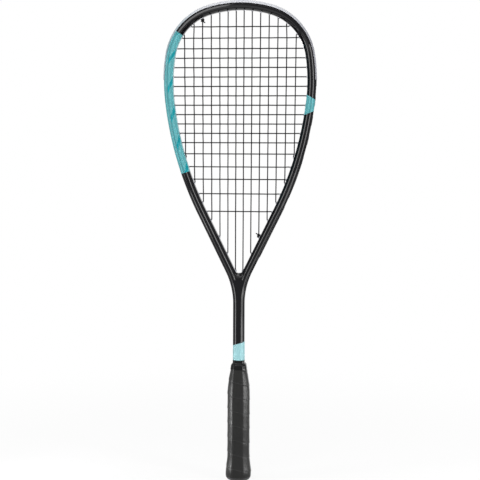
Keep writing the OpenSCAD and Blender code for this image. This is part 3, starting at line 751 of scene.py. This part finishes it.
def strung(name, route, node):
    """A round string along a route, marked with the length and the turn that its threads follow."""
    line = pulled(route)
    ways = np.gradient(line, axis=0)
    ways /= np.linalg.norm(ways, axis=1)[:, None]
    across = np.array([0.0, 1.0, 0.0])
    points, along = [], []
    lengths = np.concatenate([[0], np.cumsum(np.linalg.norm(np.diff(line, axis=0), axis=1))])
    for spot, way, length in zip(line, ways, lengths):
        across = across - (across @ way) * way
        across /= np.linalg.norm(across)
        up = np.cross(way, across)
        for a in circle(STRING_SIDES):
            points.append(spot + string_thickness / 2 * (math.cos(a) * across + math.sin(a) * up))
            along.append(length + a / (2 * math.pi) * 2 * thread_pitch)
    faces = grid_faces(len(line), STRING_SIDES, closed=True) + end_faces(len(points), STRING_SIDES)
    return new_piece(name, points, faces, "string", [node], sharp=60, wound=along)


mains = strung("mains", main_route, "main_string")
weaving = strung("crosses", cross_route, "cross_string")
coated = Finish("black_string", IOR=1.2)
wound = coated.mark("wound") / thread_pitch
thread = wound - coated.node("ShaderNodeMath", {"operation": "FLOOR"}, [wound])
ridge = 1 - coated.node("ShaderNodeMath", {"operation": "ABSOLUTE"}, [thread * 2 - 1])
fuzz = coated.noise(500, 3)
coat = coated.mixed(ridge * 0.5 + fuzz * 0.4, (0.004, 0.004, 0.005), (0.016, 0.016, 0.017))
coated.set(Base_Color=coat, Roughness=0.45 + fuzz * 0.2)
coated.bumped(ridge, 0.00004, 0.3)
coated.dress(mains, weaving)

# Handle core: rigid foam moulded round the shaft's end, and wire staples for the cap and the grip.
# All of it is hidden under the grip and the cap.
foam = Finish("handle_foam", Roughness=0.9)
cells = foam.noise(700, 4, 0.6)
foam.set(Base_Color=foam.mixed(cells, (0.55, 0.46, 0.27), (0.72, 0.63, 0.42)),
         Roughness=0.8 + cells * 0.2)
foam.bumped(cells, 0.0002, 0.6)
foam.dress(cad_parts["handle_pallet"])
wire = Finish("staple_wire", Metallic=1.0)
drawn = wire.noise(900, 3, 0.6, (1, 0.05, 1))
wire.set(Base_Color=wire.mixed(drawn, (0.50, 0.50, 0.50), (0.66, 0.66, 0.65)),
         Roughness=0.25 + drawn * 0.25)
wire.dress(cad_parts["butt_cap_staples"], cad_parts["grip_start_staple"])

# Grip: a strip of cushioned black polyurethane, wound in a spiral from the butt to the neck.
# Each turn overlaps the one below it, and the handle's eight flats show through it.
grip_width, grip_depth, grip_thickness, grip_low, grip_top = 32.6, 29, 1.9, 6, 169.8
butt_width, butt_round, butt_high, butt_top, neck_start = 37.4, 9, 13, 34, 133.5
butt_depth = butt_width - grip_width + grip_depth
neck_width = shaft_width + 2 * grip_thickness + 0.5
neck_depth = tube_depth + 2 * grip_thickness + 0.8
neck_fuller, deeper_neck = 1.3, 1
CHAMFER, INSET_CHAMFER, CORNER, SHARPNESS, COLUMNS = 2 - math.sqrt(2), 0.586, 0.256, 15, 120
neck_corner = CHAMFER * (tube_corner + grip_thickness + 2)
butt_size = (butt_width, butt_depth, CORNER * butt_width)
grip_size = (grip_width, grip_depth, CORNER * grip_width)
mid_neck = ((grip_width + neck_width) / 2 + neck_fuller, (grip_depth + neck_depth) / 2 + deeper_neck,
            (CORNER * grip_width + neck_corner) / 2)
handle_rows = np.array([
    (grip_low, *butt_size), (butt_high, *butt_size), (butt_top, *grip_size), (neck_start, *grip_size),
    ((neck_start + grip_top) / 2, *mid_neck), (grip_top, neck_width, neck_depth, neck_corner)])
soften = np.array([-4, -2, 0, 2, 4])


def eight_sided(width, depth, corner, turn, sharpness=SHARPNESS):
    """Distance from the axis to a rounded eight-sided outline, turning from the front to the right."""
    x, y = abs(math.sin(turn)), abs(math.cos(turn))
    flats = (x / (width / 2), y / (depth / 2), (x + y) / ((width + depth) / 2 - corner))
    return sum(f ** sharpness for f in flats) ** (-1 / sharpness)


def handle_size(z):
    """Width, depth and corner of the wrapped handle at a height, its bends softened."""
    near = np.clip(z + soften, grip_low, grip_top)
    width, depth, corner = (float(np.mean(np.interp(near, handle_rows[:, 0], column)))
                            for column in handle_rows.T[1:])
    inset = butt_round - math.sqrt(butt_round ** 2 - max(butt_round - z, 0) ** 2)
    return width - 2 * inset, depth - 2 * inset, corner - INSET_CHAMFER * inset


# Across the strip, in turns from its lower edge: its height over the handle, and its underside
turn_pitch, top_seam, under_lift, bedded = 21.0, 164.5, -1.5, 0.35
lap_rows = np.array([(0, -0.5), (0.001, 0.12), (0.012, 0.30), (0.035, 0.34), (0.09, 0.30), (0.2, 0.16),
                     (0.35, 0.05), (0.55, 0), (0.75, 0), (0.9, -0.02), (0.97, -0.08), (1.0, -0.22),
                     (1.03, -0.5)])
under_laps = (1.0, 0.5, 0.03)
first_turn = (top_seam - grip_top) / turn_pitch
last_turn = (top_seam - grip_low) / turn_pitch + lap_rows[-1, 0]
angles = np.arange(math.ceil(first_turn * COLUMNS), math.floor(last_turn * COLUMNS) + 1)
strip_points, strip_lap = [], []
for i in angles:
    turn, seam = 2 * math.pi * i / COLUMNS, top_seam - turn_pitch * i / COLUMNS
    for row, lap in enumerate((*lap_rows[:, 0], *under_laps)):
        z = min(max(seam + turn_pitch * lap, grip_low), grip_top)
        lap = (z - seam) / turn_pitch
        lift = np.interp(lap, *lap_rows.T) if row < len(lap_rows) else under_lift
        r = eight_sided(*handle_size(z), turn) + lift - bedded
        strip_points.append((r * math.sin(turn), -r * math.cos(turn), z))
        strip_lap.append(lap)
ring_size = len(lap_rows) + len(under_laps)
strip_faces = grid_faces(len(angles), ring_size, closed=True) + end_faces(len(strip_points), ring_size)
grip = new_piece("wound_grip", strip_points, strip_faces, "grip", ["grip_tape"], sharp=70, lap=strip_lap)

urethane = Finish("grip_urethane", IOR=1.33)
lap = urethane.mark("lap")
# Painted light at each seam: a painted highlight along the raised lower edge of each turn, and a painted
# shadow at its top, where the turn above overlaps it
painted_seam_highlight = lap.above(0.002, 0.004) * (1 - lap.above(0.045, 0.04))
painted_seam_shadow = lap.above(0.965, 0.04)
grain = urethane.noise(900, 4, 0.65)
patches = urethane.noise(45, 3, 0.6)
skin = urethane.mixed(patches, (0.0054, 0.0054, 0.0052), (0.0096, 0.0096, 0.0092))
skin = urethane.mixed(grain * 0.25, skin, (0.026, 0.026, 0.025))
skin = urethane.mixed(painted_seam_highlight * 0.4, skin, (0.05, 0.05, 0.05))
skin = urethane.mixed(painted_seam_shadow * 0.7, skin, (0.004, 0.004, 0.004))
urethane.set(Base_Color=skin, Roughness=0.24 + grain * 0.14)
urethane.bumped(grain + patches * 0.6, 0.0002, 0.4)
urethane.dress(grip)

# Butt cap: a moulded black cap with a rounded end, stapled over the end of the handle.
# Its end has a shallow panel that is left plain.
cap_top, seam_inset, cap_inset = 8, 0.35, 0.15


def ring_points(z, size, lift, sharpness=SHARPNESS):
    """Points round the handle's outline at one height, lifted off it."""
    radii = [(turn, eight_sided(*size, turn, sharpness) + lift) for turn in circle(COLUMNS)]
    return [(r * math.sin(turn), -r * math.cos(turn), z) for turn, r in radii]


cap_rows = [(z, *handle_size(cap_top), inset)
            for z, inset in ((2.4, 4.6), (5, 2.9), (cap_top, 2.5), (cap_top, 0.9))]
cap_rows.append((grip_low, *handle_size(grip_low), seam_inset))
cap_rows += [(z, *handle_size(z), cap_inset) for z in (5.8, 5, 4, 3, 2.2, 1.5, 0.9, 0.4, 0.1, 0)]
cap_rows += [(z, *handle_size(0), inset)
             for z, inset in ((0, 1.5), (0.15, 1.7), (0.45, 1.85), (0.45, 3.5), (0.45, 6))]
cap_points = []
for z, *size, inset in cap_rows:
    cap_points += ring_points(z, size, -inset)
cap_faces = grid_faces(len(cap_rows), COLUMNS, closed=True) + end_faces(len(cap_points), COLUMNS)
cap = new_piece("butt_cap_moulding", cap_points, cap_faces, "cap", ["butt_cap"], sharp=35)
moulded = Finish("black_moulding", IOR=1.46)
spark = moulded.noise(1500, 3)
moulded.set(Base_Color=moulded.mixed(spark, (0.016, 0.016, 0.017), (0.028, 0.028, 0.029)),
            Roughness=0.4 + spark * 0.2)
moulded.bumped(spark, 0.00008, 0.4)
moulded.dress(cap)

# Finishing tape: glossy black vinyl, stretched round the end of the grip and onto the shaft.
# Its own glue holds it, and it covers the grip's cut end.
tape_low, tape_top, tape_under = 163, 176.4, -0.5
grip_lift, low_lift, shaft_lift, top_lift = 0.35, 0.1, 0.36, 0.2
grip_sharpness, shaft_sharpness = 22, 16
shaft_size = (shaft_width, tube_depth, CHAMFER * tube_corner)
tape_rows = [(z, *handle_size(z), grip_lift if z > tape_low else low_lift)
             for z in np.linspace(tape_low, grip_top - 0.6, 6)]
tape_rows += [(grip_top + 0.3, neck_width - 0.2, neck_depth - 0.2, neck_corner, 0.25),
              (grip_top + 0.9, neck_width - 1.4, neck_depth - 1.4, neck_corner - 0.4, 0.2),
              (grip_top + 1.5, shaft_width + 1.8, tube_depth + 1.8, shaft_size[2] + 0.4, 0.3)]
tape_rows += [(z, *shaft_size, shaft_lift) for z in np.linspace(grip_top + 2.4, tape_top - 0.3, 5)]
tape_rows += [(tape_top, *shaft_size, top_lift), (tape_top, *shaft_size, tape_under)]
tape_rows += [(*row[:4], tape_under) for row in tape_rows[-3::-1]] + tape_rows[:1]
tape_points = []
for z, *size, lift in tape_rows:
    tape_points += ring_points(z, size, lift, shaft_sharpness if z > grip_top + 1 else grip_sharpness)
tape = new_piece("end_tape", tape_points, grid_faces(len(tape_rows), COLUMNS, closed=True), "tape",
                 ["finishing_tape"], sharp=45)
vinyl = Finish("gloss_vinyl", IOR=1.25)
creases = vinyl.noise(120, 3, 0.5, (0.4, 0.4, 4))
vinyl.set(Base_Color=vinyl.mixed(creases, (0.002, 0.002, 0.002), (0.004, 0.004, 0.005)),
          Roughness=0.06 + creases * 0.08)
vinyl.bumped(creases, 0.0003, 0.2)
vinyl.dress(tape)

# Stage: a plain white floor and soft studio lamps, with the camera where the photograph's was.
# The floor and the world look white behind the racket, and add only a little light to it.
# Places and sizes of the stage are in metres.
half_floor, floor_level = 6, -0.0005
white_floor = bpy.data.objects.new("floor", bpy.data.meshes.new("floor"))
white_floor.data.from_pydata([(half_floor * x, half_floor * y, floor_level)
                              for x, y in ((-1, -1), (1, -1), (1, 1), (-1, 1))], [], [(0, 1, 2, 3)])
bpy.context.scene.collection.objects.link(white_floor)
paper = Finish("white_floor", Roughness=0.9, Base_Color=(0.86, 0.86, 0.86, 1))


def seen(nodes):
    """One for the rays that show the white background, and zero for those that only light the racket."""
    rays = [nodes.node("ShaderNodeLightPath", output=ray)
            for ray in ("Is Camera Ray", "Is Glossy Ray", "Is Transmission Ray")]
    return rays[0].math("MAXIMUM", rays[1]).math("MAXIMUM", rays[2])


glow = paper.node("ShaderNodeEmission", None, {"Color": (1, 1, 1), "Strength": 1.0})
lit = Value(paper, paper.shader.outputs[0])
away = paper.node("ShaderNodeVectorMath", {"operation": "LENGTH"},
                  [paper.node("ShaderNodeTexCoord", output="Object")], output="Value")
shown = seen(paper) * (0.9 + 0.1 * away.above(0.5, 0.8))
mixed = paper.node("ShaderNodeMixShader", None, [shown, lit, glow])
paper.tree.links.new(mixed.socket, paper.tree.nodes["Material Output"].inputs["Surface"])
paper.dress(white_floor)

scene = bpy.context.scene
scene.view_settings.view_transform = "Standard"
world = bpy.data.worlds.new("studio")
scene.world = world
world.use_nodes = True
studio = Nodes(world.node_tree)
light_level, seen_level = 0.1, 1.0
levels = [studio.node("ShaderNodeBackground", None, {"Color": (1, 1, 1), "Strength": level})
          for level in (light_level, seen_level)]
sky = studio.node("ShaderNodeMixShader", None, [seen(studio), *levels])
studio.tree.links.new(sky.socket, studio.tree.nodes["World Output"].inputs["Surface"])
studio.tree.nodes.remove(studio.tree.nodes["Background"])


def softbox(name, spot, aim, size, power):
    lamp = bpy.data.lights.new(name, "AREA")
    lamp.shape, lamp.size, lamp.size_y, lamp.energy = "RECTANGLE", size[0], size[1], power
    box = bpy.data.objects.new(name, lamp)
    box.location = spot
    box.rotation_euler = (Vector(aim) - Vector(spot)).to_track_quat("-Z", "Y").to_euler()
    scene.collection.objects.link(box)


softbox("left_softbox", (-0.78, -0.34, 0.56), (0, 0, 0.56), (0.085, 0.73), 2.6)
softbox("right_softbox", (0.71, -0.46, 0.56), (0, 0, 0.56), (0.085, 0.73), 3.1)
softbox("top_softbox", (0, 0.15, 1.5), (0, 0, 0.6), (0.6, 0.4), 1.8)
softbox("front_softbox", (-0.34, -0.80, 1.00), (0, 0, 0.45), (0.44, 0.22), 3.4)
softbox("back_softbox", (0.3, 1.2, 0.95), (0, 0, 0.45), (0.7, 0.45), 5.5)
softbox("crown_softbox", (0, -1.25, 0.93), (0, 0, 0.68), (0.7, 0.36), 1.45)
softbox("notch_softbox", (0.02, -0.45, 1.05), (0, 0, 0.3), (0.34, 0.12), 0.85)
softbox("left_leg_softbox", (-0.45, -0.21, 0.12), (0, 0, 0.36), (0.12, 0.14), 0.18)
softbox("right_leg_softbox", (0.40, -0.28, 0.10), (0, 0, 0.36), (0.12, 0.14), 0.36)
softbox("left_shaft_softbox", (-0.74, -0.39, 0.07), (0, 0, 0.07), (0.085, 0.18), 0.53)
softbox("right_shaft_softbox", (0.72, -0.46, 0.10), (0, 0, 0.10), (0.22, 0.24), 1.5)
softbox("left_low_softbox", (-0.36, -0.09, 0.045), (0, 0, 0.04), (0.12, 0.08), 0.72)
softbox("right_low_softbox", (0.493, -0.114, 0.08), (0, 0, 0.04), (0.16, 0.14), 0.98)

view_aim, view_distance = Vector((0.0010, 0, 0.34897)), 1.5
view_height, view_side, view_roll = math.radians(4.5), math.radians(5), math.radians(0.24)
camera = bpy.data.objects.new("camera", bpy.data.cameras.new("camera"))
camera.data.lens, camera.data.sensor_width = 78.83, 36
toward = Vector((math.sin(view_side) * math.cos(view_height),
                 -math.cos(view_side) * math.cos(view_height), math.sin(view_height)))
camera.location = view_aim + toward * view_distance
facing = toward.to_track_quat("Z", "Y").to_matrix()
camera.rotation_euler = (facing @ Matrix.Rotation(view_roll, 3, "Z")).to_euler()
scene.collection.objects.link(camera)
scene.camera = camera
